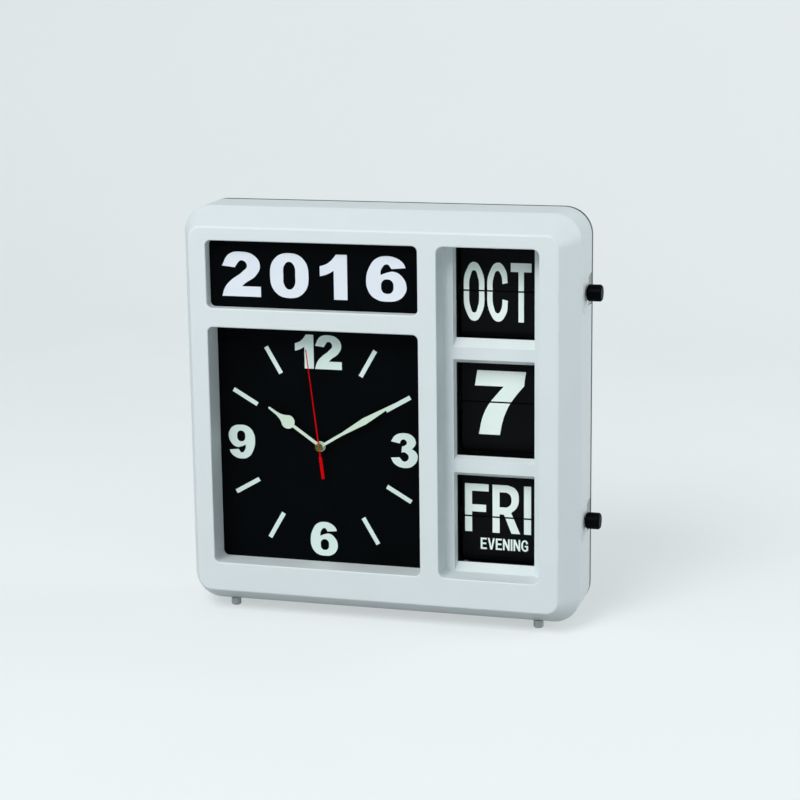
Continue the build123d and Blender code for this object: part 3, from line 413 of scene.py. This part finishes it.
def add_year_marks():
    place = panel_front("year_panel")
    for digit, left, right in YEAR_DIGITS:
        outlines = set_glyph(FIGURES[digit], left, right, YEAR_BOTTOM, YEAR_TOP)
        add_panel_mark(f"year_digit_{digit}", outlines, place, print_year)


def add_dial_marks():
    place = panel_front("dial_panel")
    for digit, *box in DIAL_DIGITS:
        add_panel_mark(f"dial_digit_{digit}", set_glyph(FIGURES[digit], *box), place, print_dial)
    nine = set_glyph(FIGURES["6"], *NINE_BOX, turned=True)
    add_panel_mark("dial_digit_9", nine, place, print_dial)
    for hour, (inner, outer) in BAR_REACH.items():
        turn = radians(HOUR_DEG * hour)
        along = Vector((sin(turn), cos(turn)))
        across = Vector((along.y, -along.x)) * BAR_W / 2
        corners = (along * inner - across, along * outer - across,
                   along * outer + across, along * inner + across)
        add_panel_mark(f"dial_bar_{hour}", [[tuple(corner) for corner in corners]], place, print_dial)


def add_leaf_marks(name, shown, following):
    """The shown word on the two front leaves, the next one behind them and on the falling leaf's back."""
    drum = joints[f"{name}_drum_turn"]
    axis = Vector(drum["pos_m"])
    pin = Vector(joints[f"{name}_leaf_fall"]["pos_m"])
    face = pin.y - LEAF_T[name] * MM / 2
    front = Matrix.Translation((axis.x, face, axis.z))
    step = radians(drum["range_deg"][1])
    to_axis = Matrix.Translation(axis)
    behind = to_axis @ Matrix.Rotation(-step, 4, "X") @ to_axis.inverted() @ front
    fallen_pin = Vector((pin.x, pin.y, 2 * axis.z - pin.z))
    back = Matrix.Translation(pin) @ Matrix.Rotation(pi, 4, "X") @ Matrix.Translation(-fallen_pin) @ front
    half_gap = PRINT_SPLIT / 2 * MM
    for tag, outlines, upper_place, lower_place in (
        ("shown", shown, (front, f"{name}_leaf"), (front, f"{name}_drum")),
        ("next", following, (behind, f"{name}_drum"), (back, f"{name}_leaf")),
    ):
        whole = print_mesh(f"{name}_{tag}", outlines)
        for half, keep_above, (matrix, body) in (("upper", True, upper_place), ("lower", False, lower_place)):
            mesh = cut_mesh(whole, half_gap if keep_above else -half_gap, keep_above)
            mesh.transform(matrix)
            add_mark(f"{name}_{tag}_{half}", mesh, body, print_leaf)
        bpy.data.meshes.remove(whole)


# Floor and backdrop
def lift_stage(material):
    """Makes the stage paler to the eye and in reflections than the light that it throws back."""
    tree = material.node_tree
    shader = tree.nodes["Principled BSDF"]
    path = tree.nodes.new("ShaderNodeLightPath")
    seen = path.outputs["Is Camera Ray"]
    for ray in ("Is Glossy Ray", "Is Transmission Ray"):
        either = tree.nodes.new("ShaderNodeMath")
        either.operation = "MAXIMUM"
        tree.links.new(seen, either.inputs[0])
        tree.links.new(path.outputs[ray], either.inputs[1])
        seen = either.outputs[0]
    lift = tree.nodes.new("ShaderNodeMath")
    lift.operation = "MULTIPLY"
    lift.inputs[1].default_value = STAGE_LIFT
    tree.links.new(seen, lift.inputs[0])
    tree.links.new(lift.outputs[0], shader.inputs["Emission Strength"])
    shader.inputs["Emission Color"].default_value = STAGE_GLOW


def add_stage():
    turns = [step * pi / (2 * STAGE_BEND_STEPS) for step in range(1, STAGE_BEND_STEPS + 1)]
    rows = [(-STAGE_REACH, 0.0), (STAGE_BEND_FROM, 0.0)]
    for turn in turns:
        rows.append((STAGE_BEND_FROM + STAGE_BEND_R * sin(turn), STAGE_BEND_R - STAGE_BEND_R * cos(turn)))
    rows.append((STAGE_BEND_FROM + STAGE_BEND_R, STAGE_REACH))
    points = [(x, y, z) for y, z in rows for x in (-STAGE_REACH, STAGE_REACH)]
    faces = [(2 * i, 2 * i + 1, 2 * i + 3, 2 * i + 2) for i in range(len(rows) - 1)]
    faces.append(tuple(range(len(points), len(points) + 4)))
    for x, y in ((-1, -1), (1, -1), (1, 1), (-1, 1)):
        points.append((x * FAR_FLOOR_REACH, y * FAR_FLOOR_REACH, FAR_FLOOR_Z))
    mesh = bpy.data.meshes.new("stage")
    mesh.from_pydata(points, [], faces)
    for face in mesh.polygons:
        face.use_smooth = True
    mesh.materials.append(stage_pale)
    stage = bpy.data.objects.new("stage", mesh)
    scene.collection.objects.link(stage)


# Light and camera
def add_lights():
    middle = (cad_box[0] + cad_box[1]) / 2
    for name, place, size, power, color in LIGHTS:
        lamp = bpy.data.lights.new(name, "AREA")
        lamp.shape = "DISK"
        lamp.size = size
        lamp.energy = power
        lamp.color = color
        light = bpy.data.objects.new(name, lamp)
        scene.collection.objects.link(light)
        light.location = place
        light.rotation_euler = (middle - Vector(place)).to_track_quat("-Z", "Y").to_euler()
    world = bpy.data.worlds.new("studio")
    world.use_nodes = True
    background = world.node_tree.nodes["Background"]
    background.inputs["Color"].default_value = WORLD_COLOR
    background.inputs["Strength"].default_value = WORLD_STRENGTH
    scene.world = world


def add_camera():
    yaw, pitch, roll = radians(CAMERA_YAW), radians(CAMERA_PITCH), radians(CAMERA_ROLL)
    forward = Vector((sin(yaw) * cos(pitch), cos(yaw) * cos(pitch), sin(pitch)))
    level_right = Vector((cos(yaw), -sin(yaw), 0))
    level_down = forward.cross(level_right)
    right = level_right * cos(roll) + level_down * sin(roll)
    down = level_down * cos(roll) - level_right * sin(roll)
    lens = bpy.data.cameras.new("camera")
    lens.sensor_width = SENSOR_MM
    lens.lens = SENSOR_MM * FOCAL_PX / PHOTO_PX
    camera = bpy.data.objects.new("camera", lens)
    scene.collection.objects.link(camera)
    aim = Matrix((right, -down, -forward)).transposed().to_4x4()
    camera.matrix_world = Matrix.Translation(CAMERA_AT) @ aim
    scene.camera = camera


dress_nodes()
add_year_marks()
add_dial_marks()
add_leaf_marks("month", set_word("OCT", *MONTH_BOX), set_word("NOV", *MONTH_BOX))
add_leaf_marks("date", set_glyph(FIGURES["7"], *DATE_BOX), set_glyph(FIGURES["8"], *DATE_BOX))
add_leaf_marks(
    "weekday",
    set_word("FRI", *WEEKDAY_BOX) + set_word("EVENING", *HALF_DAY_BOX),
    set_word("SAT", *WEEKDAY_BOX) + set_word("MORNING", *HALF_DAY_BOX),
)
lift_stage(stage_pale)
add_stage()
add_lights()
add_camera()
scene.view_settings.view_transform = "Standard"
